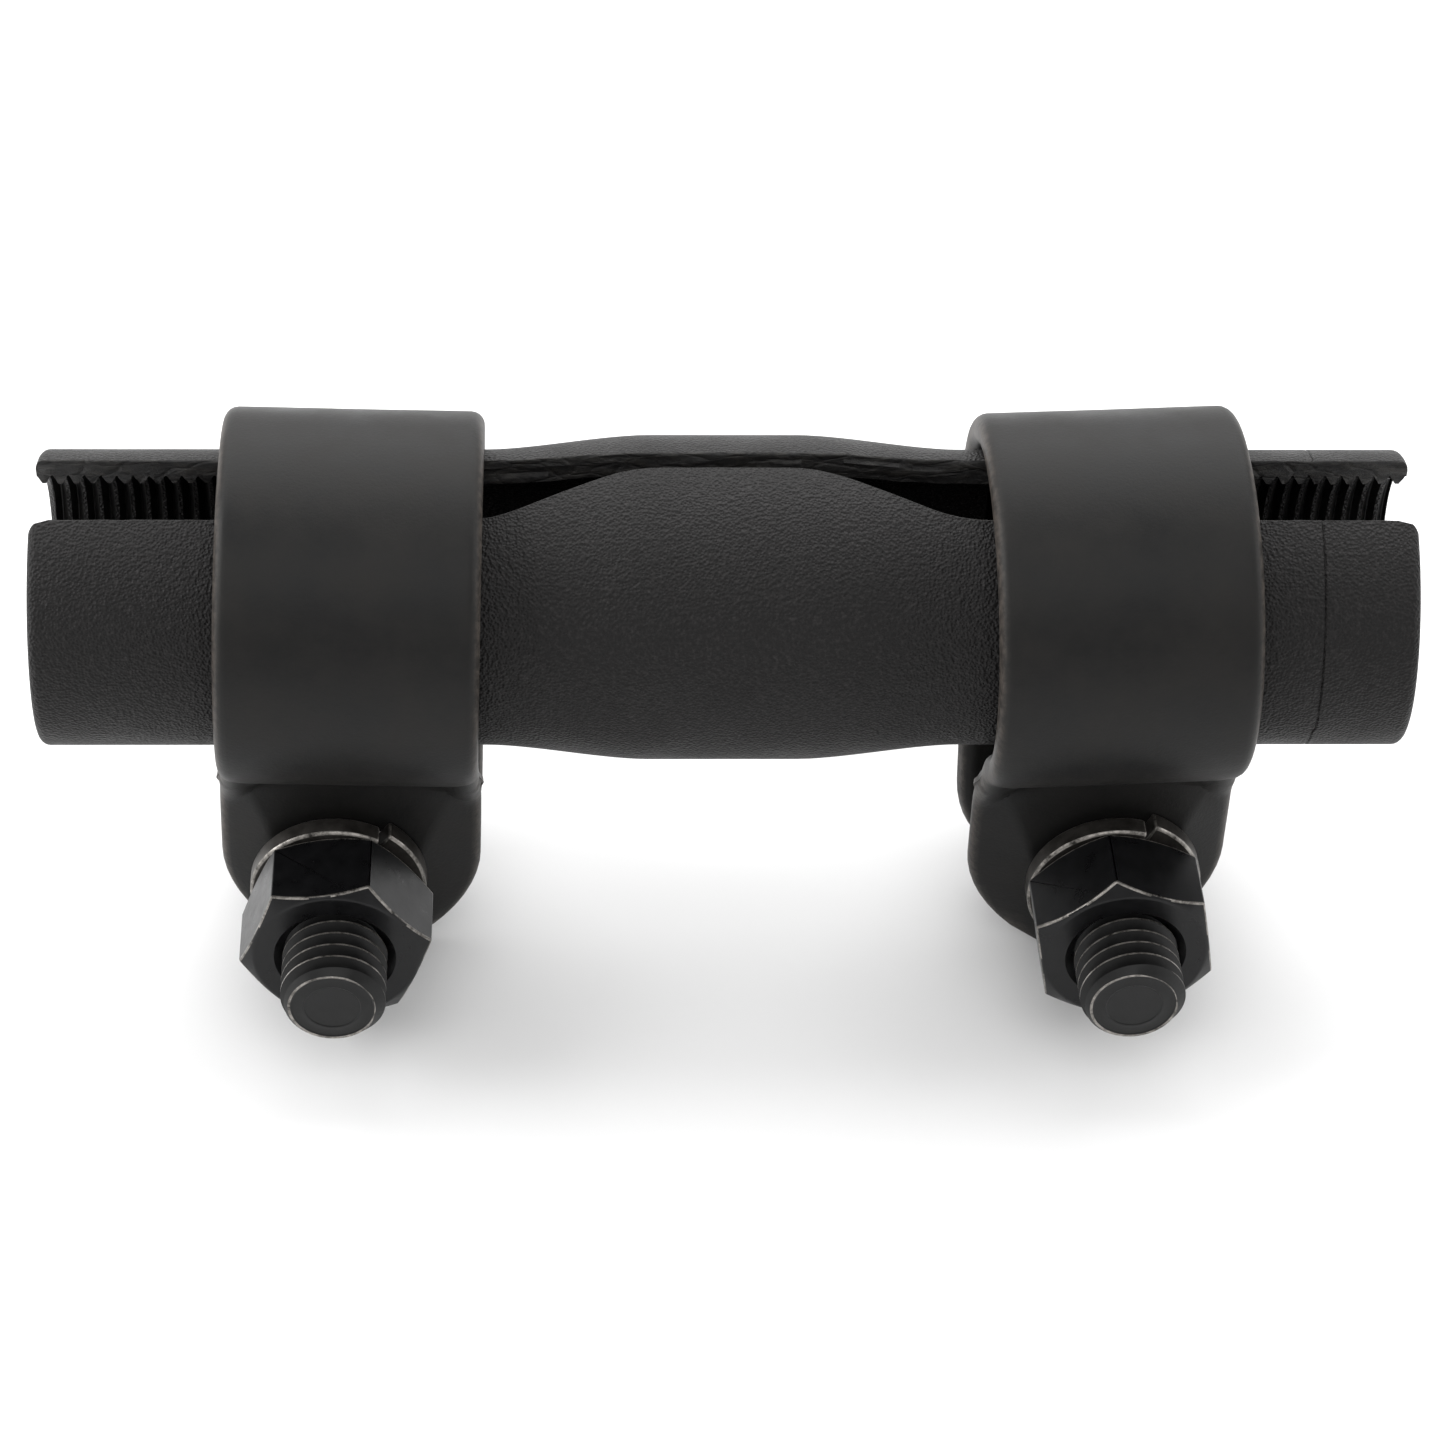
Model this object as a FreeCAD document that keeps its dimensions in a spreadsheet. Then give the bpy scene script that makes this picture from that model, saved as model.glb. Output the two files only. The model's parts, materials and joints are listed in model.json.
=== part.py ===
"""Tie-rod adjusting sleeve with two pinch clamps, as a parametric FreeCAD document.

Millimetres, +Z up. The origin is the centre of the sleeve, on its axis. The sleeve lies along X,
its slot faces up, and the ears of both clamps hang down with their nuts on the -Y side.
"""
import FreeCAD, Part
import os

import Sketcher
from FreeCAD import Placement, Rotation, Vector

DIMENSIONS = {
    # sleeve
    "sleeve_length": 127.0,
    "end_radius": 13.8,
    "barrel_radius": 15.15,
    "barrel_half_length": 7.5,
    "swage_half_length": 21.5,
    "thread_minor_radius": 11.19,
    "relief_radius": 12.5,
    "mouth_chamfer": 1.0,
    "end_round": 0.9,
    # slot along the top of the sleeve: wide at the ends, nearly closed over the barrel
    "slot_near_edge": -4.0,
    "slot_far_edge": 4.2,
    "seam_near_edge": 1.1,
    "seam_far_edge": 3.4,
    "slot_ramp_start": 21.5,
    "slot_ramp_end": 8.4,
    # clamp: a bent strip with two ears
    "left_clamp_x": -34.6,
    "right_clamp_x": 36.1,
    "left_clamp_tilt": 1.5,
    "right_clamp_yaw": 3.0,
    "band_radius": 17.6,
    "clamp_bore_radius": 14.55,
    "band_width": 24.2,
    "band_round": 1.4,
    "plate": 3.1,
    "pad_offset": 8.2,
    "pad_crease_half_width": 10.25,
    "pad_tip_half_width": 0.9,
    "fold_slope": 18.5,
    "fold_setback": 0.6,
    "ear_radius": 12.3,
    "ear_top": 10.0,
    "crease_drop": 15.6,
    "bolt_drop": 27.9,
    "bolt_hole_radius": 6.1,
    "bolt_shift": 1.05,
    # M10 bolt, nut and split lock washer
    "bolt_radius": 4.94,
    "bolt_length": 34.5,
    "bolt_chamfer": 0.8,
    "head_height": 6.4,
    "hex_flats": 16.0,
    "hex_chamfer_radius": 7.7,
    "nut_height": 8.0,
    "nut_bore_radius": 5.0,
    "nut_bore_chamfer": 0.5,
    "washer_inner_radius": 5.15,
    "washer_outer_radius": 8.4,
    "washer_plate": 2.15,
    "washer_rise": 1.3,
    "washer_turns": 0.98,
    "seat_gap": 0.05,
}

# How each clamp's loose hardware happens to be turned about its bolt, in degrees
TURNED = {
    "left": {"bolt": 18.0, "washer": 62.0, "nut": 10.0},
    "right": {"bolt": 40.0, "washer": 72.0, "nut": 38.5},
}


def make_sheet(doc):
    sheet = doc.addObject("Spreadsheet::Sheet", "Dims")
    for row, (name, value) in enumerate(DIMENSIONS.items(), start=1):
        sheet.set(f"A{row}", name)
        sheet.set(f"B{row}", str(value))
        sheet.setAlias(f"B{row}", name)
    doc.recompute()
    return sheet


def origin_plane(body, role):
    return next(f for f in body.Origin.OriginFeatures if f.Role == role)


def new_body(doc, name):
    body = doc.addObject("PartDesign::Body", name)
    body.Label = name
    return body


def new_sketch(body, name, role):
    """An empty sketch on one of the body's own origin planes."""
    sketch = body.newObject("Sketcher::SketchObject", name)
    sketch.AttachmentSupport = [(origin_plane(body, role), "")]
    sketch.MapMode = "FlatFace"
    return sketch


def drive(sketch, constraint, expression):
    """Add a dimension to the sketch and bind it to an expression of the sheet's cells."""
    index = sketch.addConstraint(constraint)
    sketch.setExpression(f"Constraints[{index}]", expression)


def draw_outline(sketch, corners):
    """A closed run of lines through corners, each a pair of expressions of the sheet's cells."""
    places = [Vector(*(float(sketch.evalExpression(e)) for e in pair), 0) for pair in corners]
    count = len(places)
    first = sketch.GeometryCount
    for i, place in enumerate(places):
        sketch.addGeometry(Part.LineSegment(place, places[(i + 1) % count]))
    for i, (across, along) in enumerate(corners):
        line = first + i
        following = first + (i + 1) % count
        sketch.addConstraint(Sketcher.Constraint("Coincident", line, 2, following, 1))
        drive(sketch, Sketcher.Constraint("DistanceX", -1, 1, line, 1, places[i].x), across)
        drive(sketch, Sketcher.Constraint("DistanceY", -1, 1, line, 1, places[i].y), along)


def draw_circle(sketch, radius, across="0", along="0"):
    centre = Vector(float(sketch.evalExpression(across)), float(sketch.evalExpression(along)), 0)
    size = float(sketch.evalExpression(radius))
    circle = sketch.addGeometry(Part.Circle(centre, Vector(0, 0, 1), size))
    drive(sketch, Sketcher.Constraint("Radius", circle, size), radius)
    drive(sketch, Sketcher.Constraint("DistanceX", -1, 1, circle, 3, centre.x), across)
    drive(sketch, Sketcher.Constraint("DistanceY", -1, 1, circle, 3, centre.y), along)


def pad(body, sketch, length, symmetric=False, downward=False):
    feature = body.newObject("PartDesign::Pad", sketch.Name + "_pad")
    feature.Profile = sketch
    feature.Midplane = symmetric
    feature.Reversed = downward
    feature.setExpression("Length", length)
    return feature


def cut(body, kind, name, profile, **settings):
    """Add a subtractive feature and make sure that it took material away."""
    body.Document.recompute()
    before = body.Shape.Volume
    feature = body.newObject("PartDesign::" + kind, name)
    feature.Profile = profile
    for key, value in settings.items():
        setattr(feature, key, value)
    body.Document.recompute()
    if body.Shape.Volume > before - 0.01:
        raise RuntimeError(f"{body.Label}: {name} cuts nothing")
    return feature


def spin_about(feature, body, role):
    feature.ReferenceAxis = (origin_plane(body, role), [""])
    feature.Angle = 360


def edges_where(shape, test):
    return [f"Edge{i}" for i, edge in enumerate(shape.Edges, start=1) if test(edge)]


def is_circle(edge, radius):
    return isinstance(edge.Curve, Part.Circle) and abs(edge.Curve.Radius - radius) < 1e-4


def dress(body, kind, name, edges, size):
    """Add a Fillet or a Chamfer of the given size to edges of the body's tip."""
    if not edges:
        raise RuntimeError(f"{body.Label}: {name} has no edges")
    base = body.Tip
    feature = body.newObject("PartDesign::" + kind, name)
    feature.Base = (base, edges)
    feature.setExpression("Radius" if kind == "Fillet" else "Size", size)
    body.Document.recompute()
    return feature


def make_sleeve(doc, sheet):
    """A rolled tube, necked down towards both ends, bored for the threads and slotted on top."""
    body = new_body(doc, "sleeve")
    half = "Dims.sleeve_length / 2"
    wall = new_sketch(body, "sleeve_wall", "XZ_Plane")
    draw_outline(wall, [
        (f"-{half}", "Dims.thread_minor_radius + Dims.mouth_chamfer"),
        (f"-{half}", "Dims.end_radius"),
        ("-Dims.swage_half_length", "Dims.end_radius"),
        ("-Dims.barrel_half_length", "Dims.barrel_radius"),
        ("Dims.barrel_half_length", "Dims.barrel_radius"),
        ("Dims.swage_half_length", "Dims.end_radius"),
        (half, "Dims.end_radius"),
        (half, "Dims.thread_minor_radius + Dims.mouth_chamfer"),
        (f"{half} - Dims.mouth_chamfer", "Dims.thread_minor_radius"),
        ("Dims.swage_half_length", "Dims.thread_minor_radius"),
        ("Dims.barrel_half_length", "Dims.relief_radius"),
        ("-Dims.barrel_half_length", "Dims.relief_radius"),
        ("-Dims.swage_half_length", "Dims.thread_minor_radius"),
        (f"-{half} + Dims.mouth_chamfer", "Dims.thread_minor_radius"),
    ])
    tube = body.newObject("PartDesign::Revolution", "tube")
    tube.Profile = wall
    spin_about(tube, body, "X_Axis")
    doc.recompute()
    rims = edges_where(tube.Shape, lambda edge: is_circle(edge, sheet.end_radius)
                       and abs(edge.Curve.Center.x) > sheet.swage_half_length + 1)
    dress(body, "Fillet", "end_rounds", rims, "Dims.end_round")

    over = "(Dims.sleeve_length / 2 + 1)"
    slot = new_sketch(body, "slot_outline", "XY_Plane")
    draw_outline(slot, [
        (f"-{over}", "Dims.slot_near_edge"),
        ("-Dims.slot_ramp_start", "Dims.slot_near_edge"),
        ("-Dims.slot_ramp_end", "Dims.seam_near_edge"),
        ("Dims.slot_ramp_end", "Dims.seam_near_edge"),
        ("Dims.slot_ramp_start", "Dims.slot_near_edge"),
        (over, "Dims.slot_near_edge"),
        (over, "Dims.slot_far_edge"),
        ("Dims.slot_ramp_start", "Dims.slot_far_edge"),
        ("Dims.slot_ramp_end", "Dims.seam_far_edge"),
        ("-Dims.slot_ramp_end", "Dims.seam_far_edge"),
        ("-Dims.slot_ramp_start", "Dims.slot_far_edge"),
        (f"-{over}", "Dims.slot_far_edge"),
    ])
    cut(body, "Pocket", "slot", slot, Type="ThroughAll", Reversed=True)
    return body


def ear_section(body, name, drop, flat_half_width, face):
    """A level section through both ears: a flat face each side, and flanks that fold inwards.

    drop is the section's depth below the sleeve's axis and face the flat's distance from the
    mid-plane. The sides stand outside the ear's outline, which trims them later.
    """
    sketch = new_sketch(body, name, "XY_Plane")
    sketch.setExpression("AttachmentOffset.Base.z", f"-({drop})")
    side = "(Dims.ear_radius + 1)"
    edge = f"{face} - tan(Dims.fold_slope) * ({side} - ({flat_half_width}))"
    draw_outline(sketch, [
        (f"-({flat_half_width})", f"-({face})"),
        (flat_half_width, f"-({face})"),
        (side, f"-({edge})"),
        (side, edge),
        (flat_half_width, face),
        (f"-({flat_half_width})", face),
        (f"-{side}", edge),
        (f"-{side}", f"-({edge})"),
    ])
    return sketch


def make_clamp(doc, sheet, side, place):
    """A strip bent into a ring whose two ends turn down into ears for the bolt."""
    body = new_body(doc, f"{side}_clamp")
    ring = new_sketch(body, f"{side}_ring", "YZ_Plane")
    draw_circle(ring, "Dims.band_radius")
    band = pad(body, ring, "Dims.band_width", symmetric=True)
    doc.recompute()
    rims = edges_where(band.Shape, lambda edge: is_circle(edge, sheet.band_radius))
    dress(body, "Fillet", f"{side}_band_rounds", rims, "Dims.band_round")

    top = "Dims.ear_top"
    tip = "Dims.bolt_drop + Dims.ear_radius + 1"
    lean = ("(Dims.pad_crease_half_width - Dims.pad_tip_half_width)"
            f" / ({tip} - Dims.crease_drop)")
    top_half_width = f"Dims.pad_crease_half_width + {lean} * (Dims.crease_drop - {top})"
    outside = "Dims.pad_offset"
    inside = "(Dims.pad_offset - Dims.plate)"
    ears = body.newObject("PartDesign::AdditiveLoft", f"{side}_ears")
    ears.Profile = ear_section(body, f"{side}_ears_top", top, top_half_width, outside)
    ears.Sections = [ear_section(body, f"{side}_ears_tip", tip, "Dims.pad_tip_half_width", outside)]
    ears.Ruled = True

    frame = new_sketch(body, f"{side}_ear_outline", "XZ_Plane")
    draw_ear_surround(frame, sheet)
    cut(body, "Pocket", f"{side}_ear_trim", frame, Type="ThroughAll", Midplane=True)

    inner_tip = ear_section(
        body, f"{side}_gap_tip", tip, "Dims.pad_tip_half_width - Dims.fold_setback", inside)
    inner_top = ear_section(
        body, f"{side}_gap_top", top, f"{top_half_width} - Dims.fold_setback", inside)
    cut(body, "SubtractiveLoft", f"{side}_gap", inner_top, Sections=[inner_tip], Ruled=True)

    bore = new_sketch(body, f"{side}_bore_outline", "YZ_Plane")
    draw_circle(bore, "Dims.clamp_bore_radius")
    cut(body, "Pocket", f"{side}_bore", bore, Type="ThroughAll", Midplane=True)
    hole = new_sketch(body, f"{side}_hole_outline", "XZ_Plane")
    draw_circle(hole, "Dims.bolt_hole_radius", along="-Dims.bolt_drop")
    cut(body, "Pocket", f"{side}_holes", hole, Type="ThroughAll", Midplane=True)
    body.Placement = place
    return body


def draw_ear_surround(sketch, sheet):
    """What lies outside an ear: its sides run straight down into a half circle about the bolt."""
    radius = sheet.ear_radius
    top = 1 - sheet.ear_top
    bottom = -sheet.bolt_drop - 2 * radius
    corners = [
        (-radius, -sheet.bolt_drop),
        (-radius, top),
        (-2 * radius, top),
        (-2 * radius, bottom),
        (2 * radius, bottom),
        (2 * radius, top),
        (radius, top),
        (radius, -sheet.bolt_drop),
    ]
    places = [Vector(across, along, 0) for across, along in corners]
    for start, end in zip(places, places[1:]):
        sketch.addGeometry(Part.LineSegment(start, end))
    lowest = Vector(0, -sheet.bolt_drop - radius, 0)
    under = sketch.addGeometry(Part.Arc(places[0], lowest, places[-1]))
    last = under - 1
    for line in range(last):
        sketch.addConstraint(Sketcher.Constraint("Coincident", line, 2, line + 1, 1))
    sketch.addConstraint(Sketcher.Constraint("Tangent", 0, 1, under, 1))
    sketch.addConstraint(Sketcher.Constraint("Tangent", last, 2, under, 2))
    for line in range(0, under, 2):
        sketch.addConstraint(Sketcher.Constraint("Vertical", line))
    for line in range(1, under, 2):
        sketch.addConstraint(Sketcher.Constraint("Horizontal", line))
    drop = -sheet.bolt_drop
    drive(sketch, Sketcher.Constraint("Radius", under, radius), "Dims.ear_radius")
    drive(sketch, Sketcher.Constraint("DistanceX", -1, 1, under, 3, 0), "0")
    drive(sketch, Sketcher.Constraint("DistanceY", -1, 1, under, 3, drop), "-Dims.bolt_drop")
    for line in (1, 5):
        drive(sketch, Sketcher.Constraint("DistanceY", -1, 1, line, 2, top), "1 - Dims.ear_top")
    drive(sketch, Sketcher.Constraint("DistanceX", -1, 1, 3, 1, -2 * radius), "-2 * Dims.ear_radius")
    drive(sketch, Sketcher.Constraint("DistanceX", -1, 1, 3, 2, 2 * radius), "2 * Dims.ear_radius")
    low = "-Dims.bolt_drop - 2 * Dims.ear_radius"
    drive(sketch, Sketcher.Constraint("DistanceY", -1, 1, 3, 1, bottom), low)


def draw_hexagon(sketch):
    corner = "Dims.hex_flats / sqrt(3)"
    turns = [f"{60 * i} deg" for i in range(6)]
    draw_outline(sketch, [(f"{corner} * cos({turn})", f"{corner} * sin({turn})") for turn in turns])


def bevel_hexagon(body, name, height, sign):
    """Turn the corners of a hexagon's outer face down at 30 degrees, as a lathe does."""
    profile = new_sketch(body, name + "_outline", "XZ_Plane")
    reach = "Dims.hex_flats"
    fall = f"({reach} - Dims.hex_chamfer_radius) * tan(30)"
    draw_outline(profile, [
        ("Dims.hex_chamfer_radius", f"{sign}({height})"),
        (reach, f"{sign}({height})"),
        (reach, f"{sign}({height} - {fall})"),
    ])
    body.Document.recompute()
    before = body.Shape.Volume
    groove = body.newObject("PartDesign::Groove", name)
    groove.Profile = profile
    spin_about(groove, body, "Z_Axis")
    body.Document.recompute()
    if body.Shape.Volume > before - 0.01:
        raise RuntimeError(f"{body.Label}: {name} cuts nothing")


def make_bolt(doc, sheet, side, place):
    """An M10 hex bolt. Its own origin is under the head, and its shank runs along local +Z."""
    body = new_body(doc, f"{side}_bolt")
    head = new_sketch(body, f"{side}_head_outline", "XY_Plane")
    draw_hexagon(head)
    pad(body, head, "Dims.head_height", downward=True)
    bevel_hexagon(body, f"{side}_head_bevel", "Dims.head_height", "-")
    shank = new_sketch(body, f"{side}_shank_outline", "XY_Plane")
    draw_circle(shank, "Dims.bolt_radius")
    pad(body, shank, "Dims.bolt_length")
    doc.recompute()
    end = edges_where(body.Shape, lambda edge: is_circle(edge, sheet.bolt_radius)
                      and edge.Curve.Center.z > 1)
    dress(body, "Chamfer", f"{side}_bolt_point", end, "Dims.bolt_chamfer")
    body.Placement = place
    return body


def make_lock_washer(doc, sheet, side, place):
    """A split spring washer: a left-hand coil of just under one turn."""
    body = new_body(doc, f"{side}_lock_washer")
    section = new_sketch(body, f"{side}_washer_section", "XZ_Plane")
    draw_outline(section, [
        ("Dims.washer_inner_radius", "0"),
        ("Dims.washer_outer_radius", "0"),
        ("Dims.washer_outer_radius", "Dims.washer_plate"),
        ("Dims.washer_inner_radius", "Dims.washer_plate"),
    ])
    coil = body.newObject("PartDesign::AdditiveHelix", f"{side}_washer_coil")
    coil.Profile = section
    coil.ReferenceAxis = (origin_plane(body, "Z_Axis"), [""])
    coil.Mode = "pitch-turns-angle"
    coil.LeftHanded = True
    coil.setExpression("Pitch", "Dims.washer_rise / Dims.washer_turns")
    coil.setExpression("Turns", "Dims.washer_turns")
    body.Placement = place
    return body


def make_nut(doc, sheet, side, place):
    """An M10 hex nut. Its own origin is the centre of its bearing face."""
    body = new_body(doc, f"{side}_nut")
    outline = new_sketch(body, f"{side}_nut_outline", "XY_Plane")
    draw_hexagon(outline)
    pad(body, outline, "Dims.nut_height")
    bevel_hexagon(body, f"{side}_nut_bevel", "Dims.nut_height", "")
    bore = new_sketch(body, f"{side}_nut_bore_outline", "XY_Plane")
    draw_circle(bore, "Dims.nut_bore_radius")
    cut(body, "Pocket", f"{side}_nut_bore", bore, Type="ThroughAll", Midplane=True)
    mouths = edges_where(body.Shape, lambda edge: is_circle(edge, sheet.nut_bore_radius))
    dress(body, "Chamfer", f"{side}_nut_mouths", mouths, "Dims.nut_bore_chamfer")
    body.Placement = place
    return body


def clamp_places(sheet, side):
    """Where a clamp stands, and where the seats of its bolt, washer and nut are.

    Both clamps are loose: the left one leans, the right one is skewed, and each bolt lies
    against the outer side of its holes.
    """
    if side == "left":
        lean = Rotation(Vector(0, 1, 0), sheet.left_clamp_tilt)
        clamp = Placement(Vector(sheet.left_clamp_x, 0, 0), lean)
        shift = -sheet.bolt_shift
    else:
        skew = Rotation(Vector(0, 0, 1), sheet.right_clamp_yaw)
        clamp = Placement(Vector(sheet.right_clamp_x, 0, 0), skew)
        shift = sheet.bolt_shift
    stack = sheet.washer_plate + sheet.washer_rise
    seats = {
        "bolt": sheet.pad_offset + sheet.seat_gap,
        "washer": -sheet.pad_offset - sheet.seat_gap,
        "nut": -sheet.pad_offset - stack - 2 * sheet.seat_gap,
    }
    places = {"clamp": clamp}
    for piece, y in seats.items():
        along_bolt = Rotation(Vector(1, 0, 0), 90)
        spin = Rotation(Vector(0, 0, 1), TURNED[side][piece])
        seat = Placement(Vector(shift, y, -sheet.bolt_drop), along_bolt * spin)
        places[piece] = clamp * seat
    return places


def check(doc, bodies):
    for item in doc.Objects:
        if {"Invalid", "Error"} & set(item.State):
            raise RuntimeError(f"{item.Label} is {item.State}")
    for body in bodies:
        if body.Shape.isNull() or not body.Shape.isValid() or len(body.Shape.Solids) != 1:
            raise RuntimeError(f"{body.Label} is not one valid solid")


def main():
    doc = FreeCAD.newDocument("tie_rod_sleeve")
    sheet = make_sheet(doc)
    bodies = [make_sleeve(doc, sheet)]
    for side in ("left", "right"):
        places = clamp_places(sheet, side)
        bodies.append(make_clamp(doc, sheet, side, places["clamp"]))
        bodies.append(make_bolt(doc, sheet, side, places["bolt"]))
        bodies.append(make_lock_washer(doc, sheet, side, places["washer"]))
        bodies.append(make_nut(doc, sheet, side, places["nut"]))
    doc.recompute()
    check(doc, bodies)
    os.makedirs("parts", exist_ok=True)
    for body in bodies:
        body.Shape.exportStep(f"parts/{body.Label}.step")
        box = body.Shape.BoundBox
        print(f"{body.Label}: {body.Shape.Volume:.0f} mm3, x {box.XMin:.1f} to {box.XMax:.1f},"
              f" y {box.YMin:.1f} to {box.YMax:.1f}, z {box.ZMin:.1f} to {box.ZMax:.1f}")


main()
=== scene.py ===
"""Tie-rod adjusting sleeve with two pinch clamps: its finished surfaces, studio and camera."""
import json
import math
from contextlib import contextmanager

import bpy
from bpy.props import FloatProperty, FloatVectorProperty
from mathutils import Euler, Matrix, Vector, noise


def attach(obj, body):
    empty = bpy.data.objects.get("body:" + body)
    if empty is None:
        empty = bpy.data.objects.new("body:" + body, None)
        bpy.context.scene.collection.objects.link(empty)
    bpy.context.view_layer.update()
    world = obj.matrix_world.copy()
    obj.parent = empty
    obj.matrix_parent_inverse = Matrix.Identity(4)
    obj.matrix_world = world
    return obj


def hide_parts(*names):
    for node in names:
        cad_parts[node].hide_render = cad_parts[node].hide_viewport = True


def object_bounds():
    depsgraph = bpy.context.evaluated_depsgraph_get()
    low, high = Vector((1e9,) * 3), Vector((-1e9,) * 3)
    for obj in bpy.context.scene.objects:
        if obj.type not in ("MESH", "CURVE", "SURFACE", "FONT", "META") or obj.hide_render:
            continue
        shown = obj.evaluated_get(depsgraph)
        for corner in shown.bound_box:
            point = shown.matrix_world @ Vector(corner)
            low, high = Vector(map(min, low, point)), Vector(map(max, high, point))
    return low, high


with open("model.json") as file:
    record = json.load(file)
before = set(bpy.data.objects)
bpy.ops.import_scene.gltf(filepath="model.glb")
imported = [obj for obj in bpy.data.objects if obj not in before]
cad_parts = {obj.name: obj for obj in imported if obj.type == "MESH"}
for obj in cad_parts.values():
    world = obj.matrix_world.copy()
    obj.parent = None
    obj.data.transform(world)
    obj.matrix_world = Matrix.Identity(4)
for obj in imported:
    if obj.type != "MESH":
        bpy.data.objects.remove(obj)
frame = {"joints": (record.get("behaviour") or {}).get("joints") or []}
CAD_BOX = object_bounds()

bl_info = {
    "name": "Tie-rod adjusting sleeve",
    "version": (1, 0, 0),
    "blender": (4, 5, 0),
    "location": "View3D > Sidebar > Sleeve",
    "description": "Builds a threaded adjusting sleeve, its pinch clamps and their bolts",
    "category": "Add Mesh",
}

MM = 0.001
TURN = 2 * math.pi
SIDES = ("left", "right")
THREAD_FLANK = math.tan(math.radians(30))
PIN_HOLE = 0.0001       # radius left on the axis of an outline that is spun, then closed
BLANK_STEPS = 96        # faces round a turned bolt, nut or drill


# ---------------------------------------------------------------- working in edit mode

def deselect_all():
    for thing in list(bpy.context.selected_objects):
        thing.select_set(False)


def only(piece):
    deselect_all()
    piece.select_set(True)
    bpy.context.view_layer.objects.active = piece


@contextmanager
def editing(piece, kind="VERT"):
    """Edit mode on one piece, with the selection that was made in code."""
    only(piece)
    bpy.ops.object.mode_set(mode="EDIT")
    bpy.ops.mesh.select_mode(type=kind)
    yield
    bpy.ops.object.mode_set(mode="OBJECT")


def pick(piece, kind, test):
    """Select the vertices, edges or polygons that pass the test, and nothing else."""
    for name in ("vertices", "edges", "polygons"):
        items = getattr(piece.data, name)
        items.foreach_set("select", [name == kind and test(item) for item in items])
    piece.data.update()


def named(name):
    piece = bpy.context.active_object
    piece.name = name
    piece.data.name = name
    return piece


def settle(piece):
    """Put the piece's turn and size into its mesh and its origin at the world's."""
    only(piece)
    bpy.ops.object.transform_apply(location=True, rotation=True, scale=True)


def outwards(piece):
    """Merge what lies together and turn every face outwards."""
    with editing(piece):
        bpy.ops.mesh.select_all(action="SELECT")
        bpy.ops.mesh.remove_doubles(threshold=1e-7)
        bpy.ops.mesh.normals_make_consistent(inside=False)


def without_slivers(piece):
    """Collapse the needle-thin faces that a cut leaves, and keep the shell closed."""
    with editing(piece):
        bpy.ops.mesh.select_all(action="SELECT")
        bpy.ops.mesh.dissolve_degenerate(threshold=0.0004 * MM)
        bpy.ops.mesh.fill_holes(sides=8)


def finish_with(piece, kind, **settings):
    """Add a modifier and apply it."""
    only(piece)
    modifier = piece.modifiers.new(kind.title(), kind)
    for key, value in settings.items():
        setattr(modifier, key, value)
    bpy.ops.object.modifier_apply(modifier=modifier.name)


def shape_with(piece, tool, operation="DIFFERENCE"):
    """Cut, join or trim the piece with a closed tool. The new faces keep the tool's slot."""
    before = len(piece.data.polygons)
    finish_with(piece, "BOOLEAN", operation=operation, solver="MANIFOLD", object=tool,
                material_mode="INDEX")
    if len(piece.data.polygons) in (0, before):
        raise RuntimeError(f"{piece.name}: {tool.name} did not shape it")
    bpy.data.objects.remove(tool)


def chain(name, points):
    """A closed outline in the XZ plane, drawn point by point by extruding one vertex."""
    bpy.ops.mesh.primitive_plane_add(size=MM, location=(0, 0, 0))
    piece = named(name)
    with editing(piece):
        bpy.ops.mesh.select_all(action="SELECT")
        bpy.ops.mesh.merge(type="CENTER")
        here = Vector((points[0][0], 0, points[0][1])) * MM
        bpy.ops.transform.translate(value=here)
        for across, up in points[1:]:
            there = Vector((across, 0, up)) * MM
            bpy.ops.mesh.extrude_vertices_move(TRANSFORM_OT_translate={"value": there - here})
            here = there
        bpy.ops.mesh.select_all(action="SELECT")
        bpy.ops.mesh.edge_face_add()
        bpy.ops.mesh.delete(type="ONLY_FACE")
    return piece


def spun(name, points, axis, steps):
    """A closed outline in the XZ plane, spun right round the X or the Z axis."""
    piece = chain(name, points)
    with editing(piece):
        bpy.ops.mesh.select_all(action="SELECT")
        bpy.ops.mesh.spin(steps=steps, angle=TURN, center=(0, 0, 0), axis=axis)
    outwards(piece)
    return piece


def coil(name, section, pitch, turns, steps):
    """A closed coil about Z: an outline in the XZ plane, wound up the axis and capped."""
    piece = chain(name, section)
    finish_with(piece, "SCREW", axis="Z", angle=TURN * turns, iterations=1,
                steps=round(steps * turns), render_steps=round(steps * turns),
                screw_offset=pitch * turns * MM, use_merge_vertices=False,
                use_smooth_shade=False)
    with editing(piece):
        bpy.ops.mesh.select_all(action="SELECT")
        bpy.ops.mesh.fill_holes(sides=0)
    outwards(piece)
    return piece


def twin_of(piece):
    """A separate copy of the piece, with a mesh of its own."""
    twin = piece.copy()
    twin.data = piece.data.copy()
    bpy.context.collection.objects.link(twin)
    return twin


def smooth(piece, angle=28):
    only(piece)
    bpy.ops.object.shade_smooth_by_angle(angle=math.radians(angle))


# ---------------------------------------------------------------- finishes

def linear(colour):
    """A hex sRGB colour as the linear RGBA that a shader takes."""
    values = [int(colour[i:i + 2], 16) / 255 for i in (1, 3, 5)]
    return [v / 12.92 if v <= 0.04045 else ((v + 0.055) / 1.055) ** 2.4 for v in values] + [1]


def shade(label, about, colour):
    return FloatVectorProperty(name=label, description=about, default=linear(colour), size=4,
                               min=0, max=1, subtype="COLOR")


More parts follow.
